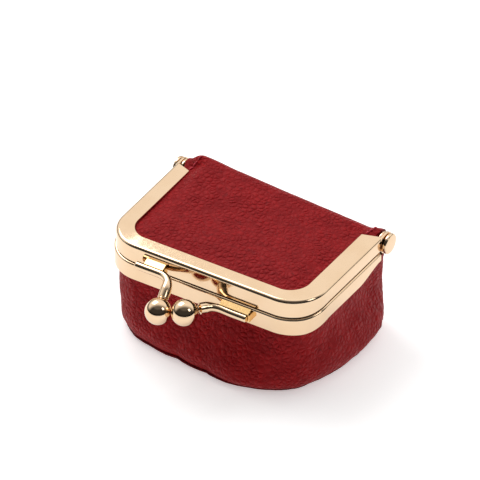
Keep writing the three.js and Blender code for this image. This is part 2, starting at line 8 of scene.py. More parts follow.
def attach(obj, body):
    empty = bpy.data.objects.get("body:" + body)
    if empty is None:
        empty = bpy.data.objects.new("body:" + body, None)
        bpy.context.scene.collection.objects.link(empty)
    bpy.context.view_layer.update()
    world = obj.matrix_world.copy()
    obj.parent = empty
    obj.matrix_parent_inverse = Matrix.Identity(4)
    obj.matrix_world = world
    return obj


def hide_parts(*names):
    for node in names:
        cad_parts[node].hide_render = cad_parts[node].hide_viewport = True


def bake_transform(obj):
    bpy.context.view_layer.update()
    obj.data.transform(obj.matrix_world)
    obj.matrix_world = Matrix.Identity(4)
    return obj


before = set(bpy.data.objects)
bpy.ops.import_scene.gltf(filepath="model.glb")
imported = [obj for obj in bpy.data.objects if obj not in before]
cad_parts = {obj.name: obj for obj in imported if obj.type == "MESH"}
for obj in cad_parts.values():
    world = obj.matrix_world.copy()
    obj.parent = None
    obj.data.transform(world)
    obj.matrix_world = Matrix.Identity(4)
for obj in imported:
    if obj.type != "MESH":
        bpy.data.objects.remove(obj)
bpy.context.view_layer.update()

MM = 0.001

# Frame outlines and hinge, in millimetres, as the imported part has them.
UPPER_HALF = 40.0
UPPER_FRONT = -25.0
UPPER_R = 13.0
LOWER_HALF = 40.6
LOWER_FRONT = -25.6
LOWER_R = 13.5
SPLAY = 0.012
FLANGE_END = 22.5
CHANNEL_END = 21.2
HINGE_Y = 25.7
HINGE_Z = 34.0
UPPER_TOP = 38.0
LOWER_TOP = 31.0
SIDE_RISE = 1.4
SHEET = 0.9
LEATHER = 1.1
# The lid leather: how far its edge lies inside the upper frame, its height there, and where the fold starts.
LID_EDGE = 3.0
LID_EDGE_Z = 37.1
LID_REAR = 21.0
RIDGE_TILT = 0.068
# Half widths of the fold between the ears and of the back below it.
FOLD_HALF = 38.1
BACK_HALF = 34.3


# ---------------------------------------------------------------- small maths

def smooth(value, low, high):
    t = np.clip((value - low) / (high - low), 0.0, 1.0)
    return t * t * (3 - 2 * t)


def mix(a, b, t):
    return a + (b - a) * t


def curve_through(points, count):
    """count points spaced evenly along a Catmull-Rom curve through the given points."""
    p = np.array(points, float)
    p = np.vstack([2 * p[0] - p[1], p, 2 * p[-1] - p[-2]])
    dense = []
    for i in range(1, len(p) - 2):
        for t in np.linspace(0, 1, 24, endpoint=i == len(p) - 3):
            a, b, c, d = p[i - 1:i + 3]
            dense.append(0.5 * (2 * b + (c - a) * t + (2 * a - 5 * b + 4 * c - d) * t ** 2
                                + (3 * b - a - 3 * c + d) * t ** 3))
    dense = np.array(dense)
    length = np.concatenate([[0], np.cumsum(np.linalg.norm(np.diff(dense, axis=0), axis=1))])
    at = np.linspace(0, length[-1], count)
    return np.stack([np.interp(at, length, dense[:, k]) for k in range(dense.shape[1])], 1)


def arm_outline(half, front, radius, back, arm_steps=40, corner_steps=28, front_steps=40):
    """A U seen from above, left arm's back end first: rows of x, y and the outward normal."""
    def arm_x(y):
        return half + SPLAY * max(0.0, y - front - radius)
    rows = []
    for i in range(arm_steps):
        y = mix(back, front + radius, i / arm_steps)
        rows.append((-arm_x(y), y, -1.0, 0.0))
    for i in range(corner_steps + 1):
        a = math.pi / 2 * i / corner_steps
        c, s = math.cos(a), math.sin(a)
        rows.append((-half + radius - radius * c, front + radius - radius * s, -c, -s))
    for i in range(1, front_steps):
        rows.append((mix(-1, 1, i / front_steps) * (half - radius), front, 0.0, -1.0))
    for row in reversed(rows[:arm_steps + corner_steps + 1]):
        rows.append((-row[0], row[1], -row[2], row[3]))
    return np.array(rows)


def wrapped_outline(half, front, radius, back, back_radius, turn_steps=16, **steps):
    """The U with both arms turned inwards at the back."""
    arms = arm_outline(half, front, radius, back - back_radius, **steps)
    x, y = arms[-1, 0], arms[-1, 1]
    turn = []
    for i in range(1, turn_steps + 1):
        a = math.pi / 2 * i / turn_steps
        c, s = math.cos(a), math.sin(a)
        turn.append((x - back_radius + back_radius * c, y + back_radius * s, c, s))
    turn = np.array(turn)
    mirrored = turn[::-1] * np.array([-1, 1, -1, 1])
    return np.vstack([mirrored, arms, turn])


def side_share(y):
    return float(smooth(y, LOWER_FRONT + 3, LOWER_FRONT + 15))


def lower_top(y):
    return LOWER_TOP + SIDE_RISE * side_share(y)


def fractal(x, y, z, size, seed=0.0, octaves=3):
    p = Vector((x / size + seed, y / size - seed, z / size + 2 * seed))
    return noise.fractal(p, 0.8, 2.0, octaves)


# ---------------------------------------------------------------- mesh making

def new_object(name, verts, faces, material, sharp=None):
    """A mesh object from points in millimetres; edges sharper than an angle in degrees stay crisp."""
    mesh = bpy.data.meshes.new(name)
    mesh.from_pydata([tuple(c * MM for c in v) for v in verts], [], [tuple(f) for f in faces])
    mesh.validate()
    mesh.update()
    obj = bpy.data.objects.new(name, mesh)
    bpy.context.scene.collection.objects.link(obj)
    bpy.context.view_layer.objects.active = obj
    for other in bpy.context.selected_objects:
        other.select_set(False)
    obj.select_set(True)
    bpy.ops.object.mode_set(mode="EDIT")
    bpy.ops.mesh.select_all(action="SELECT")
    bpy.ops.mesh.normals_make_consistent(inside=False)
    bpy.ops.object.mode_set(mode="OBJECT")
    mesh.shade_smooth()
    if sharp is not None:
        mesh.set_sharp_from_angle(angle=math.radians(sharp))
    mesh.materials.append(material)
    return obj


def joined(*parts):
    verts, faces = [], []
    for v, f in parts:
        start = len(verts)
        verts.extend(v)
        faces.extend([[i + start for i in face] for face in f])
    return verts, faces


def ring_faces(rings, count):
    """Quads between neighbouring rings of count points each, and a face over each end."""
    faces = []
    for i in range(rings - 1):
        for j in range(count):
            a, b = i * count + j, i * count + (j + 1) % count
            faces.append([a, b, b + count, a + count])
    faces.append(list(reversed(range(count))))
    faces.append([(rings - 1) * count + j for j in range(count)])
    return faces


def sweep(rows, section):
    """A closed solid: section(row) gives [inset, z] or [inset, z, slide] points at each row of an outline."""
    verts = []
    count = len(section(rows[0]))
    for x, y, nx, ny in rows:
        for p in section((x, y, nx, ny)):
            slide = p[2] if len(p) > 2 else 0.0
            verts.append((x - nx * p[0] - ny * slide, y - ny * p[0] + abs(nx) * slide, p[1]))
    return verts, ring_faces(len(rows), count)


def sheet_between(top, bottom):
    """A closed sheet between two grids of points."""
    rows, cols = top.shape[:2]
    verts = [tuple(v) for v in top.reshape(-1, 3)] + [tuple(v) for v in bottom.reshape(-1, 3)]
    under = rows * cols
    faces = []
    for r in range(rows - 1):
        for c in range(cols - 1):
            a, b, d, e = r * cols + c, r * cols + c + 1, (r + 1) * cols + c + 1, (r + 1) * cols + c
            faces.append([a, b, d, e])
            faces.append([under + e, under + d, under + b, under + a])
    rim = list(range(cols))
    rim += [r * cols + cols - 1 for r in range(1, rows)]
    rim += [(rows - 1) * cols + c for c in range(cols - 2, -1, -1)]
    rim += [r * cols for r in range(rows - 2, 0, -1)]
    for i, a in enumerate(rim):
        b = rim[(i + 1) % len(rim)]
        faces.append([a, under + a, under + b, b])
    return verts, faces


def rounded_section(corners, steps=5):
    """A closed section: each corner (inset, z, radius) becomes an arc with a support point each side."""
    out = []
    n = len(corners)
    for i, (px, pz, radius) in enumerate(corners):
        p = np.array([px, pz])
        a = np.array(corners[i - 1][:2]) - p
        b = np.array(corners[(i + 1) % n][:2]) - p
        la, lb = np.linalg.norm(a), np.linalg.norm(b)
        a, b = a / la, b / lb
        half = math.acos(float(np.clip(a @ b, -1, 1))) / 2
        cut = min(radius / math.tan(half), 0.45 * la, 0.45 * lb)
        r = cut * math.tan(half)
        centre = p + (a + b) / np.linalg.norm(a + b) * (r / math.sin(half))
        start, end = p + a * cut, p + b * cut
        support = min(0.06, 0.04 * min(la, lb))
        out.append(start + a * support)
        for k in range(steps + 1):
            t = k / steps
            u, v = start - centre, end - centre
            angle = math.acos(float(np.clip(u @ v / (r * r), -1, 1)))
            w = (math.sin((1 - t) * angle) * u + math.sin(t * angle) * v) / math.sin(angle)
            out.append(centre + w)
        out.append(end + b * support)
    return [(float(q[0]), float(q[1])) for q in out]


def side_plate(outline, x_low, x_high, edge=0.12):
    """A plate across X with softened rims, from a convex list of (y, z) points."""
    p = np.array(outline)
    ahead, behind = np.roll(p, -1, 0) - p, p - np.roll(p, 1, 0)
    along = ahead / np.linalg.norm(ahead, axis=1)[:, None] + behind / np.linalg.norm(behind, axis=1)[:, None]
    along /= np.linalg.norm(along, axis=1)[:, None]
    inward = np.stack([-along[:, 1], along[:, 0]], 1)
    if ((p.mean(0) - p) * inward).sum() < 0:
        inward = -inward
    layers = [(x_low, 1.0), (x_low + 0.3 * edge, 0.3), (x_low + edge, 0.0),
              (x_high - edge, 0.0), (x_high - 0.3 * edge, 0.3), (x_high, 1.0)]
    verts = []
    for x, share in layers:
        for y, z in p + inward * edge * share:
            verts.append((x, y, z))
    return verts, ring_faces(len(layers), len(p))


def turned(profile, origin, axis, segments=64):
    """A turned solid: profile is (radius, height) from pole to pole along axis, starting at origin."""
    turn = Vector((0, 0, 1)).rotation_difference(Vector(axis).normalized()).to_matrix()
    place = Vector(origin)
    verts, rings = [], []
    for radius, height in profile:
        if radius < 1e-6:
            rings.append([len(verts)])
            verts.append(tuple(turn @ Vector((0, 0, height)) + place))
            continue
        ring = []
        for j in range(segments):
            a = 2 * math.pi * j / segments
            ring.append(len(verts))
            verts.append(tuple(turn @ Vector((radius * math.cos(a), radius * math.sin(a), height)) + place))
        rings.append(ring)
    faces = []
    for low, high in zip(rings, rings[1:]):
        for j in range(segments):
            k = (j + 1) % segments
            if len(low) == 1:
                faces.append([low[0], high[k], high[j]])
            elif len(high) == 1:
                faces.append([low[j], low[k], high[0]])
            else:
                faces.append([low[j], low[k], high[k], high[j]])
    return verts, faces


def round_bar(path, radius_at, steps=80, sides=28, chamfer=0.25):
    """A wire along a smooth curve, with chamfered ends."""
    p = curve_through(path, steps + 1)
    tangent = np.gradient(p, axis=0)
    tangent /= np.linalg.norm(tangent, axis=1)[:, None]
    side = np.cross(tangent[0], (0.3, 0.1, 0.9))
    verts = []
    stations = [(0, -1), (0, 0)] + [(i, 0) for i in range(1, steps)] + [(steps, 0), (steps, 1)]
    for i, end in stations:
        side = side - tangent[i] * (side @ tangent[i])
        side /= np.linalg.norm(side)
        up = np.cross(tangent[i], side)
        radius = radius_at(i / steps) - (chamfer if end else 0)
        centre = p[i] + tangent[i] * end * chamfer
        for j in range(sides):
            a = 2 * math.pi * j / sides
            verts.append(tuple(centre + radius * (math.cos(a) * side + math.sin(a) * up)))
    return verts, ring_faces(len(stations), sides)


def block(low, high):
    verts = [(x, y, z) for x in (low[0], high[0]) for y in (low[1], high[1]) for z in (low[2], high[2])]
    return verts, [[0, 1, 3, 2], [4, 6, 7, 5], [0, 4, 5, 1], [2, 3, 7, 6], [0, 2, 6, 4], [1, 5, 7, 3]]


def bevel(obj, width, segments=3):
    modifier = obj.modifiers.new("edges", "BEVEL")
    modifier.width = width * MM
    modifier.segments = segments
    modifier.limit_method = "ANGLE"
    modifier.harden_normals = True
    return obj


# ------------------------------------------------------------------ materials

class Nodes:
    """Shorthand for building a node tree."""

    def __init__(self, owner):
        owner.use_nodes = True
        self.tree = owner.node_tree

    def add(self, kind, **values):
        node = self.tree.nodes.new(kind)
        for key, value in values.items():
            if key in node.inputs:
                node.inputs[key].default_value = value
            else:
                setattr(node, key, value)
        return node

    def link(self, output, node, socket):
        self.tree.links.new(output, node.inputs[socket])

    def maths(self, operation, *values):
        node = self.add("ShaderNodeMath", operation=operation)
        for k, value in enumerate(values):
            if isinstance(value, (int, float)):
                node.inputs[k].default_value = value
            else:
                self.link(value, node, k)
        return node.outputs[0]

    def span(self, value, low, high, out_low=0.0, out_high=1.0):
        """A smooth step of the value from low to high, between two outputs."""
        node = self.add("ShaderNodeMapRange", interpolation_type="SMOOTHSTEP")
        self.link(value, node, "Value")
        for key, number in (("From Min", low), ("From Max", high), ("To Min", out_low), ("To Max", out_high)):
            node.inputs[key].default_value = number
        return node.outputs["Result"]


class Surface(Nodes):
    """A material built from noise, cells and bumps in the object's own coordinates."""

    def __init__(self, name):
        self.material = bpy.data.materials.new(name)
        super().__init__(self.material)
        self.shader = self.tree.nodes["Principled BSDF"]
        self.place = self.add("ShaderNodeTexCoord").outputs["Object"]

    def noise(self, scale, detail=3.0, roughness=0.5):
        node = self.add("ShaderNodeTexNoise", Scale=scale, Detail=detail, Roughness=roughness)
        self.link(self.place, node, "Vector")
        return node.outputs["Fac"]

    def cells(self, scale, feature, place):
        node = self.add("ShaderNodeTexVoronoi", feature=feature, Scale=scale)
        self.link(place, node, "Vector")
        return node.outputs["Distance"]

    def wave(self, direction, scale, distortion=0.0):
        node = self.add("ShaderNodeTexWave", bands_direction=direction, Scale=scale, Distortion=distortion)
        self.link(self.place, node, "Vector")
        return node.outputs["Fac"]

    def blend(self, share, a, b):
        node = self.add("ShaderNodeMix", data_type="RGBA")
        self.link(share, node, "Factor")
        for key, value in (("A", a), ("B", b)):
            socket = [s for s in node.inputs if s.name == key and s.type == "RGBA"][0]
            if isinstance(value, tuple):
                socket.default_value = (*value, 1.0)
            else:
                self.tree.links.new(value, socket)
        return [s for s in node.outputs if s.type == "RGBA"][0]

    def warped(self, scale, amount):
        """Object coordinates pushed about by noise."""
        node = self.add("ShaderNodeTexNoise", Scale=scale, Detail=2.0)
        self.link(self.place, node, "Vector")
        shift = self.add("ShaderNodeVectorMath", operation="MULTIPLY_ADD")
        shift.inputs[1].default_value = (amount,) * 3
        self.link(node.outputs["Color"], shift, 0)
        self.link(self.place, shift, 2)
        return shift.outputs[0]

    def bump(self, height, distance, strength, below=None):
        node = self.add("ShaderNodeBump", Distance=distance, Strength=strength)
        self.link(height, node, "Height")
        if below is not None:
            self.link(below, node, "Normal")
        return node.outputs["Normal"]

    def finish(self, colour, roughness=None, normal=None, **values):
        for key, value in values.items():
            self.shader.inputs[key.replace("_", " ")].default_value = value
        for socket, value in (("Base Color", colour), ("Roughness", roughness), ("Normal", normal)):
            if value is not None:
                self.link(value, self.shader, socket)
        return self.material


def gold(name, bright, dull):
    """Polished plating with faint tarnish, ripples and hairlines."""
    n = Surface(name)
    tarnish = n.noise(110.0, 4.0)
    colour = n.blend(n.span(tarnish, 0.35, 0.75), bright, dull)
    rough = n.span(n.noise(900.0, 4.0, 0.7), 0.3, 0.8, 0.045, 0.11)
    ripple = n.bump(n.noise(160.0, 2.0), 0.00003, 0.25)
    scratch = n.bump(n.noise(5200.0, 2.0), 0.000004, 0.2, ripple)
    return n.finish(colour, rough, scratch, Metallic=1.0)


def leather(name, dark, mid, light, grain=1.0):
    """Soft pebbled grain: rounded cells of a millimetre or two over finer ones, with slow colour drift, and
    painted shade darkening the creases between the cells.
    """
    n = Surface(name)
    place = n.warped(700.0, 0.0007)
    edge = n.cells(540.0 * grain, "DISTANCE_TO_EDGE", place)
    pebble = n.span(edge, 0.0, 0.3)
    dome = n.span(n.cells(540.0 * grain, "F1", place), 0.0, 0.8, 1.0, 0.0)
    fine = n.span(n.cells(1700.0 * grain, "DISTANCE_TO_EDGE", place), 0.0, 0.3)
    size = n.span(n.noise(130.0, 2.0), 0.35, 0.65, 0.45, 1.0)
    height = n.maths("ADD", n.maths("MULTIPLY", pebble, size), n.maths("MULTIPLY", dome, 0.7))
    height = n.maths("ADD", height, n.maths("MULTIPLY", fine, 0.16))
    height = n.maths("ADD", height, n.maths("MULTIPLY", n.noise(5000.0, 2.0), 0.06))
    patch = n.span(n.noise(210.0, 3.0, 0.55), 0.34, 0.66)
    colour = n.blend(patch, mid, light)
    colour = n.blend(n.span(n.noise(430.0, 3.0), 0.55, 0.85), colour, dark)
    # Painted shade: the creases between the pebbles are darkened towards the dark colour.
    colour = n.blend(n.span(edge, 0.0, 0.16, 0.32, 0.0), colour, dark)
    rough = n.span(n.maths("ADD", n.maths("MULTIPLY", pebble, 0.5), n.maths("MULTIPLY", patch, 0.5)),
                   0.0, 1.0, 0.6, 0.46)
    creases = n.bump(n.noise(85.0, 3.0), 0.0006, 0.4)
    normal = n.bump(height, 0.00025, 1.0, creases)
    n.shader.inputs["Specular Tint"].default_value = (1.0, 0.42, 0.45, 1.0)
    return n.finish(colour, rough, normal, Specular_IOR_Level=0.16)


def fabric(name, dark, light):
    """Plain woven lining with slubs."""
    n = Surface(name)
    waves = [n.wave(direction, 280.0, 0.6) for direction in ("X", "Y", "Z")]
    weave = n.maths("MULTIPLY", n.maths("ADD", waves[0], waves[1]), n.maths("ADD", waves[2], 0.4))
    slub = n.noise(240.0, 4.0)
    colour = n.blend(n.span(n.maths("ADD", n.maths("MULTIPLY", weave, 0.15), slub), 0.3, 0.9), dark, light)
    rough = n.span(slub, 0.3, 0.7, 0.78, 0.95)
    return n.finish(colour, rough, n.bump(weave, 0.00009, 0.6), Sheen_Weight=0.25)


def fibrous(name, dark, light, scale):
    """Pressed paper or board."""
    n = Surface(name)
    long_fibre = n.noise(scale, 5.0, 0.7)
    colour = n.blend(n.span(long_fibre, 0.3, 0.7), dark, light)
    return n.finish(colour, n.span(long_fibre, 0.2, 0.8, 0.8, 0.95), n.bump(long_fibre, 0.0001, 0.5))


def thread(name):
    """Waxed sewing thread with a visible twist; its colour is painted shade, darker in the twist's grooves and
    lighter on its ridges.
    """
    n = Surface(name)
    twist = n.wave("DIAGONAL", 900.0)
    # Painted shade: the colour follows the twist, dark in its grooves and light on its ridges.
    colour = n.blend(twist, (0.50, 0.012, 0.03), (0.85, 0.03, 0.07))
    rough = n.span(n.noise(2500.0), 0.3, 0.7, 0.45, 0.65)
    return n.finish(colour, rough, n.bump(twist, 0.00008, 0.8), Sheen_Weight=0.2)


GOLD = gold("polished_gold", (0.775, 0.575, 0.385), (0.745, 0.54, 0.35))
# Painted reflection: a deeper, yellower gold for the clasp feet, standing in for gold reflected in the gold
# around them.
REFLECTION_TINTED_GOLD = gold("reflection_tinted_gold", (0.80, 0.53, 0.24), (0.74, 0.46, 0.18))
SKIN = leather("pebbled_leather", (0.17, 0.0045, 0.006), (0.285, 0.0075, 0.0095), (0.35, 0.0075, 0.0095))
EDGE_SKIN = leather("cut_leather_edge", (0.09, 0.003, 0.005), (0.17, 0.006, 0.009), (0.23, 0.007, 0.011),
                    grain=1.6)
LINING = fabric("wine_lining", (0.07, 0.008, 0.012), (0.15, 0.016, 0.023))
BOARD = fibrous("grey_board", (0.30, 0.24, 0.17), (0.48, 0.40, 0.29), 700.0)
CORD = fibrous("kraft_cord", (0.38, 0.27, 0.15), (0.60, 0.46, 0.28), 1500.0)
THREAD = thread("red_thread")


# ------------------------------------------------------------- gold hardware

def ear_outline(lead, radius, start, end, tail=()):
    points = list(lead)
    for a in np.linspace(start, end, 40):
        points.append((HINGE_Y + radius * math.cos(a), HINGE_Z + radius * math.sin(a)))
    return points + list(tail)


def upper_rail():
    """The lid's frame: front band, flange on top, inner seat and the two outer ears."""
    bottom_z = UPPER_TOP - 6.6

    def section(row):
        _, y, nx, _ = row
        width = mix(5.5, 6.6, abs(nx))
        bottom = bottom_z + SIDE_RISE * side_share(y)
        skew = -0.45 * float(smooth(y, FLANGE_END - 5, FLANGE_END))
        tip = UPPER_TOP + 0.6
        points = rounded_section([
            (0.0, bottom, 0.22), (0.0, UPPER_TOP - 0.05, 1.25), (width, tip, 0.28), (width, tip - 0.8, 0.15),
            (SHEET, UPPER_TOP - SHEET, 0.3), (SHEET, 34.6, 0.1), (width - 1, 34.6, 0.12),
            (width - 1, 33.8, 0.12), (SHEET, 33.8, 0.1), (SHEET, bottom, 0.22)])
        return [(i, z, skew * max(0.0, i - SHEET)) for i, z in points]

    rows = arm_outline(UPPER_HALF, UPPER_FRONT, UPPER_R, FLANGE_END)
    parts = [sweep(rows, section)]
    x = UPPER_HALF + SPLAY * (HINGE_Y - UPPER_FRONT - UPPER_R) - 0.03
    bottom = bottom_z + SIDE_RISE
    outline = ear_outline([(FLANGE_END - 0.6, bottom + 0.02)], 3.8, math.pi * 1.1, math.pi * 2.48,
                          [(FLANGE_END - 0.6, UPPER_TOP - 0.35)])
    for side in (-1, 1):
        low, high = sorted((side * x, side * (x - SHEET)))
        parts.append(side_plate(outline, low, high))
    return new_object("upper_rail", *joined(*parts), GOLD, sharp=40)


def lower_rail():
    """The body's frame: a channel over the wall's top edge, and the two inner ears."""
    def section(row):
        _, y, _, _ = row
        top = lower_top(y)
        bottom = LOWER_TOP - 6.4 + 2.4 * side_share(y) + 2.6 * float(smooth(y, CHANNEL_END - 14, CHANNEL_END))
        leg = max(top - 4.2, bottom + 0.2)
        return rounded_section([
            (0.0, bottom, 0.2), (0.0, top, 0.75), (4.0, top, 0.5), (4.0, leg, 0.15), (3.4, leg, 0.15),
            (3.4, top - 0.8, 0.15), (0.8, top - 0.8, 0.15), (0.8, bottom, 0.2)])

    rows = arm_outline(LOWER_HALF, LOWER_FRONT, LOWER_R, CHANNEL_END)
    parts = [sweep(rows, section)]
    top = LOWER_TOP + SIDE_RISE
    lead = [(CHANNEL_END - 4, top - 0.1), (CHANNEL_END - 3.8, top - 0.7), (CHANNEL_END, HINGE_Z - 3.4)]
    outline = ear_outline(lead, 3.6, math.pi * 1.5, math.pi * 2.75)
    for side in (-1, 1):
        low, high = sorted((side * 38.5, side * 39.3))
        parts.append(side_plate(outline, low, high))
    return new_object("lower_rail", *joined(*parts), GOLD, sharp=40)


def rivet(name, side):
    """A rivet through both ears: a small inner head, the pin and a wide domed outer head."""
    inner_head = [(0, 37.2), (1.6, 37.22), (2.1, 37.4), (2.3, 37.7), (2.3, 38.2), (2.24, 38.28)]
    pin = [(1.5, 38.3), (1.5, 40.8)]
    outer_head = [(3.3, 40.82), (3.56, 40.9), (3.65, 41.08), (3.65, 41.62), (3.6, 41.84), (3.45, 42.02),
                  (3.1, 42.13), (2.2, 42.19), (1.2, 42.22), (0, 42.23)]
    profile = inner_head + pin + outer_head
    return new_object(name, *turned(profile, (0, HINGE_Y, HINGE_Z), (side, 0, 0)), GOLD, sharp=45)


UPPER_BALL = np.array((-8.6, -39.0, 27.4))
LOWER_BALL = np.array((0.4, -37.0, 29.2))
BALL_R = 4.55
WIRE_R = 1.4
UPPER_WIRE = [(-24.3, -27.5, 32.9), (-20.2, -27.5, 32.9), (-16.6, -27.5, 32.95), (-13.6, -27.8, 33.0),
              (-11.2, -29.3, 32.7), (-9.9, -32.3, 31.3), tuple(UPPER_BALL)]
LOWER_WIRE = [(18.8, -28.1, 28.3), (13.0, -28.1, 28.3), (8.0, -28.1, 28.4), (5.2, -29.4, 28.5),
              (2.9, -32.4, 28.8), tuple(LOWER_BALL)]


def ball(name, centre, neck):
    """A cast ball with a short turned neck where its wire enters."""
    axis = np.array(neck) - centre
    axis = axis / np.linalg.norm(axis)
    profile = []
    for a in np.linspace(0, math.pi * 0.9, 44):
        profile.append((BALL_R * math.sin(a), -BALL_R * math.cos(a)))
    profile += [(1.75, 4.5), (1.72, 4.75), (0.0, 4.75)]
    return new_object(name, *turned(profile, centre, axis, 72), GOLD, sharp=50)


def stem(name, path, collar_from):
    """A clasp wire that thickens into a collar just before its ball."""
    def radius_at(t):
        return WIRE_R + 0.55 * float(smooth(t, collar_from, 0.86)) * (t < 1)
    trimmed = curve_through(path, 60)
    keep = np.linalg.norm(trimmed - np.array(path[-1]), axis=1) > BALL_R - 0.25
    return new_object(name, *round_bar(trimmed[keep][::3], radius_at), GOLD, sharp=40)


def clasp_foot(name, low_x, high_x, lip_low_x, band_y, wire, end_plate):
    """A thin plate soldered to the band behind the wire, with a sloping lip over it."""
    wire_y, wire_z = wire
    plate_y = wire_y + WIRE_R + 0.12
    y = band_y + 0.02
    top, front, nose = wire_z + 2.4, wire_y + 0.35, wire_z + WIRE_R + 0.05
    lip = [(y, top), (y, top - 0.5), (front, nose - 0.3), (front, nose)]
    verts = [(x, *point) for x in (lip_low_x, high_x) for point in lip]
    faces = [[0, 1, 2, 3], [7, 6, 5, 4]] + [[j, j + 4, (j + 1) % 4 + 4, (j + 1) % 4] for j in range(4)]
    parts = [block((low_x, plate_y, wire_z - 1.45), (high_x, y, wire_z + 1.0)), (verts, faces)]
    if end_plate:
        parts.append(block((high_x, wire_y + 0.2, wire_z - 1.3), (high_x + 0.6, y, wire_z + 1.5)))
    # The feet take the deeper gold as a painted reflection of the gold around them.
    return bevel(new_object(name, *joined(*parts), REFLECTION_TINTED_GOLD), 0.1)


# ---------------------------------------------------------------- leather

def lid_half_width(y, inset):
    """Half width at y of the upper frame's outline drawn in by an inset."""
    radius = UPPER_R - inset
    corner_y = UPPER_FRONT + UPPER_R
    if y >= corner_y:
        return UPPER_HALF - inset + SPLAY * (y - corner_y)
    reach = min(radius, corner_y - y)
    return UPPER_HALF - UPPER_R + math.sqrt(max(0.0, radius * radius - reach * reach))


def lid_inset(x, y):
    """Distance inwards from the upper frame's outline."""
    corner_x, corner_y = UPPER_HALF - UPPER_R, UPPER_FRONT + UPPER_R
    if abs(x) > corner_x and y < corner_y:
        return UPPER_R - math.hypot(abs(x) - corner_x, corner_y - y)
    return min(lid_half_width(y, 0) - abs(x), y - UPPER_FRONT)


def lid_height(x, y):
    """Outer face of the lid leather: flat in the channel, crowned inside it, rising to a ridge at the back."""
    inset = lid_inset(x, y)
    lip = 0.5 * smooth(inset, LID_EDGE, 7.2)
    crown = 1.1 * smooth(inset, 6.0, 15.0)
    rear = smooth(y, 0.0, 22.0) * smooth(inset, 5.0, 13.0)
    sag = 0.25 * fractal(x, y, 0, 17.0, 3.1) * smooth(inset, 6.5, 14.0)
    return LID_EDGE_Z + float(lip + crown + (0.75 + ridge_rise(x)) * rear + sag) + wrinkles(x, y)


def wrinkles(x, y):
    """Fine puckers where the leather is pulled together towards the right end of the hinge."""
    where = float(smooth(x, -6.0, 26.0) * smooth(y, 2.0, 18.0) * smooth(lid_inset(x, y), 7.0, 10.0))
    return -0.42 * where * abs(fractal(x * 0.7, y * 1.3, 0, 4.2, 9.4, 2))


def ridge_rise(x):
    """The rear edge of the lid slopes down to the right and is puffed up near its left end."""
    return -RIDGE_TILT * x + 0.5 * math.exp(-((x + 29) / 6) ** 2)


# The leather's outer face over the hinge and down the back, as (y, z) points.
FOLD = [(LID_REAR, 39.1), (23.8, 39.35), (26.4, 38.9), (28.4, 37.5), (29.5, 35.2), (29.8, 32.6), (29.5, 29.6),
        (29.0, 25.0), (28.8, 17.0), (28.8, 10.0), (28.5, 5.4), (27.4, 2.6), (25.4, 1.3)]
LID_ROWS = 54
FOLD_ROWS = 84
LID_SHARE = LID_ROWS / (LID_ROWS + FOLD_ROWS)
STRIP_COLUMNS = 120


def lid_row(t):
    """One row of the lid's face; t runs from the front edge towards the fold."""
    front = UPPER_FRONT + LID_EDGE
    y = front + (LID_REAR - front) * (t ** 1.35) + 0.02
    half = lid_half_width(y, LID_EDGE)
    return [(half * u, y, lid_height(half * u, y)) for u in np.linspace(-1, 1, STRIP_COLUMNS)]


def fold_point(x, half, y, z, t):
    """One point of the leather over the hinge and down the back; t runs from the lid to the base."""
    edge = half - abs(x)
    near_top = 1 - float(smooth(t, 0.0, 0.34))
    droop = 1.1 * near_top * (1 - float(smooth(edge, 0.0, 4.5)))
    tilt = ridge_rise(x) * (1 - float(smooth(t, 0.1, 0.5))) * float(smooth(edge, 0.0, 6.0))
    wave = 0.16 * fractal(x, y, z, 13.0, 7.7) * float(smooth(edge, 0.5, 6.0))
    hollow = 0.5 * math.sin(math.pi * min(1.0, max(0.0, (t - 0.3) / 0.65))) * (1 - (x / half) ** 2)
    high = mix(lid_height(x, y), z - droop + tilt + wave * near_top, float(smooth(t, 0.02, 0.12)))
    return x, y + (0.5 * wave + hollow) * (1 - near_top), high


def fold_row(y, z, t):
    """One row of that leather: it widens to reach between the ears, then narrows to the back."""
    half = mix(lid_half_width(LID_REAR, LID_EDGE), FOLD_HALF, float(smooth(t, 0.03, 0.09)))
    half = mix(half, BACK_HALF, float(smooth(t, 0.26, 0.48)))
    return [fold_point(half * u, half, y, z, t) for u in np.linspace(-1, 1, STRIP_COLUMNS)]


def strip_surface():
    """The outer face, with its normals, of the leather over the lid, round the back and down to the base."""
    grid = [lid_row(i / LID_ROWS) for i in range(LID_ROWS)]
    for i, (y, z) in enumerate(curve_through(FOLD, FOLD_ROWS)):
        grid.append(fold_row(y, z, i / (FOLD_ROWS - 1)))
    grid = np.array(grid)
    normal = np.cross(np.gradient(grid, axis=1), np.gradient(grid, axis=0))
    return grid, normal / np.linalg.norm(normal, axis=2)[:, :, None]


STRIP, STRIP_NORMAL = strip_surface()


def strip_grid(depth_at):
    """The strip's face moved inwards by a depth that varies from its front to its end."""
    total = LID_ROWS + FOLD_ROWS
    depth = np.array([depth_at(i / (total - 1)) for i in range(total)])[:, None, None]
    return STRIP - STRIP_NORMAL * depth


def strip_piece(name, upper, lower, material):
    return new_object(name, *sheet_between(strip_grid(upper), strip_grid(lower)), material, sharp=50)


# The body's wall. Its outline is the lower frame's, carried round both back corners.
WALL_BACK = 30.4
WALL_BACK_R = 6.7
WALL_ROWS = 64
# The wall's top edge: its inset from that outline, and its depth under the rail's top.
WALL_TOP_INSET = 1.15
WALL_TOP_DEPTH = 2.35
# Below it, row by row: inset and height at the front, inset and height at the sides, inset at the back, and
# what is added to the front inset on the left half, which runs down to the seam without tucking under.
WALL = [
    (1.2, 25.2, 1.2, 27.6, 1.3, 0.0),
    (0.7, 21.8, 1.5, 23.0, 1.5, 0.0),
    (-0.6, 17.0, 1.5, 17.0, 1.6, 0.0),
    (-2.2, 12.0, 1.1, 12.0, 1.6, 0.0),
    (-3.5, 7.4, 0.8, 7.5, 1.7, 0.0),
    (-3.7, 4.2, 1.0, 4.4, 2.1, 0.2),
    (-2.7, 1.9, 2.2, 2.1, 3.3, 0.0),
    (-0.8, 0.9, 3.9, 0.9, 4.9, -1.2),
]
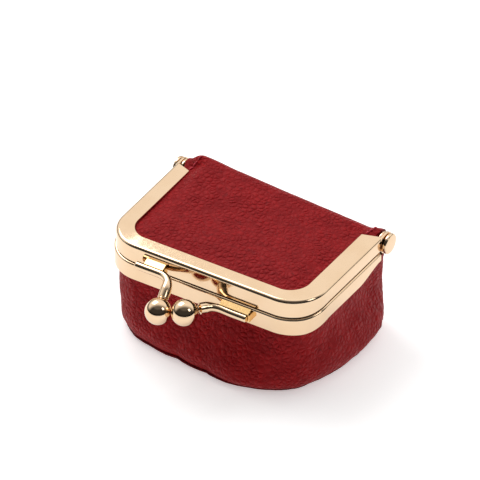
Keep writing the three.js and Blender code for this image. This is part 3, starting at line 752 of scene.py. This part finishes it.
# Where the foot of the body stands, looking down on it: the right side and the right half of the front swell
# out, the front left corner is tucked in.
FOOT = [(-37.1, 23.8), (-38.0, 11.9), (-38.3, 0.0), (-38.3, -8.9), (-37.4, -16.9), (-33.9, -21.9),
        (-27.0, -26.5), (-19.8, -28.2), (-8.0, -28.9), (4.0, -30.4), (14.8, -31.9), (23.2, -30.0),
        (30.0, -26.8), (35.4, -22.6), (39.1, -15.8), (42.0, -7.1), (43.7, 3.6), (44.0, 11.7),
        (43.2, 18.8), (39.9, 25.6)]


def turn_from_front(angle):
    """An angle from +X made into one from the front, negative on the left side."""
    turn = (angle + math.pi / 2) % (2 * math.pi)
    return turn - 2 * math.pi if turn > math.pi else turn


def foot_reach(angle):
    """Distance of the foot's edge from the middle of the purse, in a direction seen from above."""
    turns = [turn_from_front(math.atan2(y, x)) for x, y in FOOT]
    reach = [math.hypot(x, y) for x, y in FOOT]
    return float(np.interp(turn_from_front(angle), turns, reach))


def wall_profile(x, y, ny, rows):
    """Points of inset and height down the wall's outer surface at one place on the outline."""
    front = float(smooth(-ny, 0.1, 1.0)) * (1 - 0.3 * float(smooth(abs(x - 6.0), 6, 34)))
    back = float(smooth(ny, 0.0, 1.0))
    left = 1 - float(smooth(x, -2.0, 22.0))
    points = [(WALL_TOP_INSET, lower_top(y) - WALL_TOP_DEPTH)]
    for front_inset, front_z, side_inset, side_z, back_inset, untuck in WALL:
        inset = mix(mix(side_inset, back_inset, back), front_inset + untuck * left, front)
        points.append((inset, mix(side_z, front_z, front)))
    profile = curve_through(points, 120)
    at = np.linspace(0, len(profile) - 1, rows)
    return np.stack([np.interp(at, np.arange(len(profile)), profile[:, k]) for k in range(2)], 1)


def foot_stray(x, y, nx, ny, inset):
    """How far the foot stands off the outline's own shape, as a step in x and y; none at the back."""
    low = np.array((x - nx * inset, y - ny * inset))
    stray = low * (foot_reach(math.atan2(low[1], low[0])) / np.hypot(*low) - 1)
    return stray * (1 - float(smooth(ny, 0.0, 0.8)))


def wall_push(x, y, z, outline_y, nx):
    """How far the wall bulges out: slow swells everywhere, less the creases at the rear of the sides."""
    rail = lower_top(outline_y)
    free = float(smooth(z, 1.0, 5.0) * (1 - smooth(z, rail - 8.5, rail - 4.5)))
    swell = 0.55 * fractal(x, y, z, 15.0, 1.3) * free
    rear = float(smooth(outline_y, 4.0, 24.0)) * abs(nx)
    crease = 0.7 * abs(fractal(x, y * 1.6 + z * 0.5, z * 0.45, 6.5, 5.2))
    return swell - crease * rear * (1 - float(smooth(z, rail - 5.0, rail - 3.5)))


def wall_rows(outline, depth, rows=WALL_ROWS):
    """Grid of the body's U-shaped wall at a depth under its outer surface; row 0 is the top edge."""
    grid = []
    for x, y, nx, ny in outline:
        profile = wall_profile(x, y, ny, rows)
        stray = foot_stray(x, y, nx, ny, profile[int(0.8 * (rows - 1))][0])
        column = []
        for inset, z in profile:
            lean = 1 - float(smooth(z, 4.0, 25.0))
            px, py = x - nx * inset + stray[0] * lean, y - ny * inset + stray[1] * lean
            push = wall_push(px, py, z, y, nx)
            column.append((px + nx * push, py + ny * push, z))
        grid.append(column)
    grid = np.array(grid).transpose(1, 0, 2)
    if depth:
        normal = np.cross(np.gradient(grid, axis=1), np.gradient(grid, axis=0))
        normal /= np.linalg.norm(normal, axis=2)[:, :, None]
        outward = np.array([[row[2], row[3], 0] for row in outline])[None]
        flip = np.sign((normal * outward).sum(2).mean())
        grid = grid - normal * flip * depth
    return grid


OUTLINE = wrapped_outline(LOWER_HALF, LOWER_FRONT, LOWER_R, WALL_BACK, WALL_BACK_R)


def body_wall():
    """The leather of the front, the sides and both back corners."""
    sheet = sheet_between(wall_rows(OUTLINE, 0.0), wall_rows(OUTLINE, LEATHER))
    return new_object("body_wall", *sheet, SKIN, sharp=50)


SEAM = wall_rows(OUTLINE, 0.0, rows=8)[-1]
SEAM_STEP = np.gradient(SEAM[:, :2], axis=0)
SEAM_OUT = np.stack([SEAM_STEP[:, 1], -SEAM_STEP[:, 0]], 1) / np.linalg.norm(SEAM_STEP, axis=1)[:, None]


def stacked(layers):
    """A closed solid through outlines with the same number of points, each at its own height."""
    count = len(layers[0][0])
    verts = [(x, y, z) for ring, z in layers for x, y in ring]
    return verts, ring_faces(len(layers), count)


def seam_ring(margin):
    """The closed line where the walls meet the base, drawn in by a margin."""
    return [(p[0] - n[0] * margin, p[1] - n[1] * margin) for p, n in zip(SEAM, SEAM_OUT)]


def base_panel():
    """The base leather: a flat underside whose rim is rounded up to the seam."""
    rings = [(3.2, 1.2), (0.25, 1.25), (0.1, 0.95), (0.22, 0.55), (0.7, 0.2), (1.6, 0.06), (3.3, 0.04)]
    return new_object("base_panel", *stacked([(seam_ring(margin), z) for margin, z in rings]), SKIN, sharp=60)


def base_welt():
    """The folded seam allowance that stands out between walls and base."""
    verts = []
    sides = 14
    for p, out_way in zip(SEAM, SEAM_OUT):
        out = 0.15 + 0.18 * fractal(p[0], p[1], 0, 4.0, 2.2)
        for j in range(sides):
            a = 2 * math.pi * j / sides
            reach = out + 0.62 * math.cos(a)
            verts.append((p[0] + out_way[0] * reach, p[1] + out_way[1] * reach, 1.0 + 0.46 * math.sin(a)))
    return new_object("base_welt", verts, ring_faces(len(SEAM), sides), EDGE_SKIN)


def back_seam(name, side):
    """The corner seam: a low ridge of thread stitches down the join of back and side."""
    path = curve_through([(y + 0.15, z) for y, z in FOLD[6:-1]], 240)
    parts = []
    pitch = 9
    for start in range(0, 240 - pitch, pitch):
        piece = path[start:start + pitch - 2]
        points = [(side * 34.35, y + 0.18 * math.sin(math.pi * k / (len(piece) - 1)), z)
                  for k, (y, z) in enumerate(piece)]
        parts.append(round_bar(points, lambda t: 0.24 - 0.08 * (2 * t - 1) ** 2, 8, 8, 0.05))
    return new_object(name, *joined(*parts), THREAD)


def lid_stitches(name, start, end, count=3):
    """A short row of hand stitches over the fold, just behind the end of the flange."""
    parts = []
    gap = 0.12
    for i in range(count):
        points = []
        for k in range(5):
            t = (i + gap + (1 - 2 * gap) * k / 4) / count
            x, y = mix(start[0], end[0], t), mix(start[1], end[1], t)
            lift = 0.08 + 0.22 * math.sin(math.pi * k / 4)
            points.append((x, y, surface_height(x, y) + lift))
        parts.append(round_bar(points, lambda t: 0.32 - 0.08 * (2 * t - 1) ** 2, 10, 12, 0.05))
    return new_object(name, *joined(*parts), THREAD)


def surface_height(x, y):
    """Height of the strip's outer surface over a point near the back of the lid."""
    points = STRIP.reshape(-1, 3)
    points = points[points[:, 2] > 35.0]
    gap = np.hypot(points[:, 0] - x, points[:, 1] - y)
    near = np.argsort(gap)[:4]
    weight = 1 / (gap[near] + 0.05)
    return float((points[near, 2] * weight).sum() / weight.sum())


def lining_tub():
    """The sewn lining of the walls, hanging just inside the leather."""
    outline = wrapped_outline(LOWER_HALF, LOWER_FRONT, LOWER_R, WALL_BACK, WALL_BACK_R,
                              turn_steps=8, arm_steps=24, corner_steps=14, front_steps=24)
    outer = wall_rows(outline, LEATHER + 0.35, rows=40)
    inner = wall_rows(outline, LEATHER + 0.75, rows=40)
    return new_object("wall_lining", *sheet_between(outer, inner), LINING, sharp=50)


def slab(name, margin, low_z, high_z, material):
    """A flat ply lying on the base, set in from the seam by a margin."""
    edge = 0.15
    levels = ((edge, low_z), (0.0, mix(low_z, high_z, 0.5)), (edge, high_z))
    layers = [(seam_ring(margin + extra), z) for extra, z in levels]
    return new_object(name, *stacked(layers), material, sharp=50)


def lining_depth(t):
    """Depth of the lining's face under the leather's: below the board in the lid, closer behind the fold."""
    return LEATHER + 0.8 - 0.5 * float(smooth(t, LID_SHARE, LID_SHARE + 0.06))


def lid_board_piece():
    """The stiff card under the lid leather, stopping short of the fold."""
    top = strip_grid(lambda t: LEATHER + 0.08)[:LID_ROWS - 2, ::3]
    low = strip_grid(lambda t: LEATHER + 0.75)[:LID_ROWS - 2, ::3]
    return new_object("lid_board_card", *sheet_between(top, low), BOARD, sharp=50)


# --------------------------------------------------------------- assembling

def put(obj, body, slot, *nodes):
    """Rides a piece on a body, or on none when body is None, in place of the CAD nodes it stands for, which it
    hides.
    """
    if body is not None:
        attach(obj, body)
    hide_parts(*nodes)
    return obj


put(upper_rail(), "lid", "gold", "upper_frame")
put(lower_rail(), "purse_body", "gold", "lower_frame")
put(rivet("rivet_left", -1), "purse_body", "gold", "hinge_rivet_left")
put(rivet("rivet_right", 1), "purse_body", "gold", "hinge_rivet_right")
put(ball("left_ball", UPPER_BALL, UPPER_WIRE[-2]), "upper_clasp", "gold", "upper_clasp_ball")
put(ball("right_ball", LOWER_BALL, LOWER_WIRE[-2]), "lower_clasp", "gold", "lower_clasp_ball")
put(stem("left_stem", UPPER_WIRE, 0.62), "upper_clasp", "gold", "upper_clasp_stem")
put(stem("right_stem", LOWER_WIRE, 0.66), "lower_clasp", "gold", "lower_clasp_stem")
left_foot = clasp_foot("left_foot", -22.6, -14.4, -21.8, UPPER_FRONT, UPPER_WIRE[0][1:], False)
right_foot = clasp_foot("right_foot", 8.0, 19.2, 8.0, LOWER_FRONT, LOWER_WIRE[0][1:], True)
put(left_foot, "lid", "gold", "upper_clasp_foot")
put(right_foot, "purse_body", "gold", "lower_clasp_foot")

# The leather and the lining from the lid round the back to the base; they are baked in place and ride on no
# body.
strip = strip_piece("lid_and_back_leather", lambda t: 0.0, lambda t: LEATHER, SKIN)
lining = strip_piece("lid_and_back_lining", lining_depth, lambda t: lining_depth(t) + 0.32, LINING)
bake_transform(strip)
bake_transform(lining)
put(strip, None, "leather", "lid_leather", "hinge_fold_leather", "back_leather")
put(lining, None, "lining", "lid_lining", "back_lining")

put(lid_board_piece(), "lid", "board", "lid_board")
put(body_wall(), "purse_body", "leather", "front_side_leather")
put(base_panel(), "purse_body", "leather", "base_leather")
put(base_welt(), "purse_body", "leather", "base_seam_welt")
walls_lining = put(lining_tub(), "purse_body", "lining", "body_lining")
floor_lining = put(slab("base_lining_cloth", 0.5, 2.35, 2.65, LINING), "purse_body", "lining", "base_lining")
put(slab("base_card", 1.0, 1.3, 2.25, BOARD), "purse_body", "board", "base_board")
put(back_seam("back_stitches_left", -1), "purse_body", "thread", "back_seam_left")
put(back_seam("back_stitches_right", 1), "purse_body", "thread", "back_seam_right")
for side, start, end in (("left", (-34.8, 21.3), (-32.3, 26.0)), ("right", (34.3, 22.0), (35.8, 27.0))):
    stitches = lid_stitches("lid_stitches_" + side, start, end)
    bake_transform(stitches)
    put(stitches, None, "thread", f"lid_stitch_{side}_front", f"lid_stitch_{side}_rear")

for node, material in (("upper_paper_cord", CORD), ("lower_paper_cord", CORD)):
    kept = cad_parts[node]
    kept.data.materials.clear()
    kept.data.materials.append(material)


# --------------------------------------------------------- floor, light, view

def floor():
    """A wide pale floor that glows a little, so that it stays near white."""
    size = 3.0
    mesh = bpy.data.meshes.new("floor")
    corners = [(-size, -size, 0), (size, -size, 0), (size, size, 0), (-size, size, 0)]
    mesh.from_pydata(corners, [], [(0, 1, 2, 3)])
    obj = bpy.data.objects.new("floor", mesh)
    bpy.context.scene.collection.objects.link(obj)
    n = Surface("pale_floor")
    colour = n.blend(n.noise(3.0), (0.93, 0.93, 0.935), (0.95, 0.95, 0.95))
    mesh.materials.append(n.finish(colour, Roughness=0.9, Specular_IOR_Level=0.1,
                                   Emission_Color=(1.0, 1.0, 1.0, 1.0), Emission_Strength=0.46))


def softbox(name, direction, distance, size, power):
    """A rectangular light in a direction from the purse, facing it."""
    data = bpy.data.lights.new(name, "AREA")
    data.shape = "RECTANGLE"
    data.size, data.size_y = size
    data.energy = power
    obj = bpy.data.objects.new(name, data)
    bpy.context.scene.collection.objects.link(obj)
    way = Vector(direction).normalized()
    obj.location = Vector((0, 0, 0.03)) + way * distance
    obj.rotation_mode = "QUATERNION"
    obj.rotation_quaternion = way.to_track_quat("Z", "Y")


AZIMUTH = math.radians(31.908)
ELEVATION = math.radians(36.75)


def studio():
    """A room that is bright behind and overhead, with a dark band low down and towards the viewer."""
    world = bpy.data.worlds.new("studio")
    bpy.context.scene.world = world
    n = Nodes(world)
    split = n.add("ShaderNodeSeparateXYZ")
    n.link(n.add("ShaderNodeTexCoord").outputs["Generated"], split, 0)
    x, y, z = split.outputs
    away_x = n.maths("MULTIPLY", x, -math.sin(AZIMUTH))
    away_y = n.maths("MULTIPLY", y, math.cos(AZIMUTH))
    away = n.maths("ADD", away_x, away_y)
    behind = n.span(away, -0.25, 0.35)
    room = n.maths("MULTIPLY", n.span(z, 0.12, 0.42), n.maths("MULTIPLY_ADD", behind, 0.86, 0.03))
    low_glow = n.maths("MULTIPLY", behind, n.span(z, -0.05, 0.25, 0.0, 0.25))
    overhead = n.span(z, 0.7, 0.9, 0.0, 0.1)
    total = n.maths("ADD", n.maths("ADD", room, low_glow), n.maths("ADD", overhead, 0.022))
    background = n.tree.nodes["Background"]
    n.link(total, background, "Strength")
    background.inputs["Color"].default_value = (1.0, 0.99, 0.98, 1.0)


def camera():
    """A long lens from the front right, above."""
    data = bpy.data.cameras.new("camera")
    obj = bpy.data.objects.new("camera", data)
    bpy.context.scene.collection.objects.link(obj)
    bpy.context.scene.camera = obj
    back = Vector((math.sin(AZIMUTH) * math.cos(ELEVATION), -math.cos(AZIMUTH) * math.cos(ELEVATION),
                   math.sin(ELEVATION)))
    right = Vector((math.cos(AZIMUTH), math.sin(AZIMUTH), 0))
    up = back.cross(right)
    middle = Vector((0, 0, 0.024)) - right * 0.00096 + up * 0.009175
    data.lens = 449.6
    data.clip_end = 20
    obj.location = middle + back * 2.0
    obj.rotation_mode = "QUATERNION"
    obj.rotation_quaternion = Matrix((right, up, back)).transposed().to_quaternion()


bpy.context.scene.view_settings.view_transform = "Standard"
bpy.context.scene.view_settings.look = "None"
floor()
softbox("left_softbox", (-0.585, 0.22, 0.776), 0.55, (0.30, 0.30), 1.15)
softbox("right_softbox", (0.714, 0.01, 0.70), 0.6, (0.16, 0.20), 0.32)
studio()
camera()
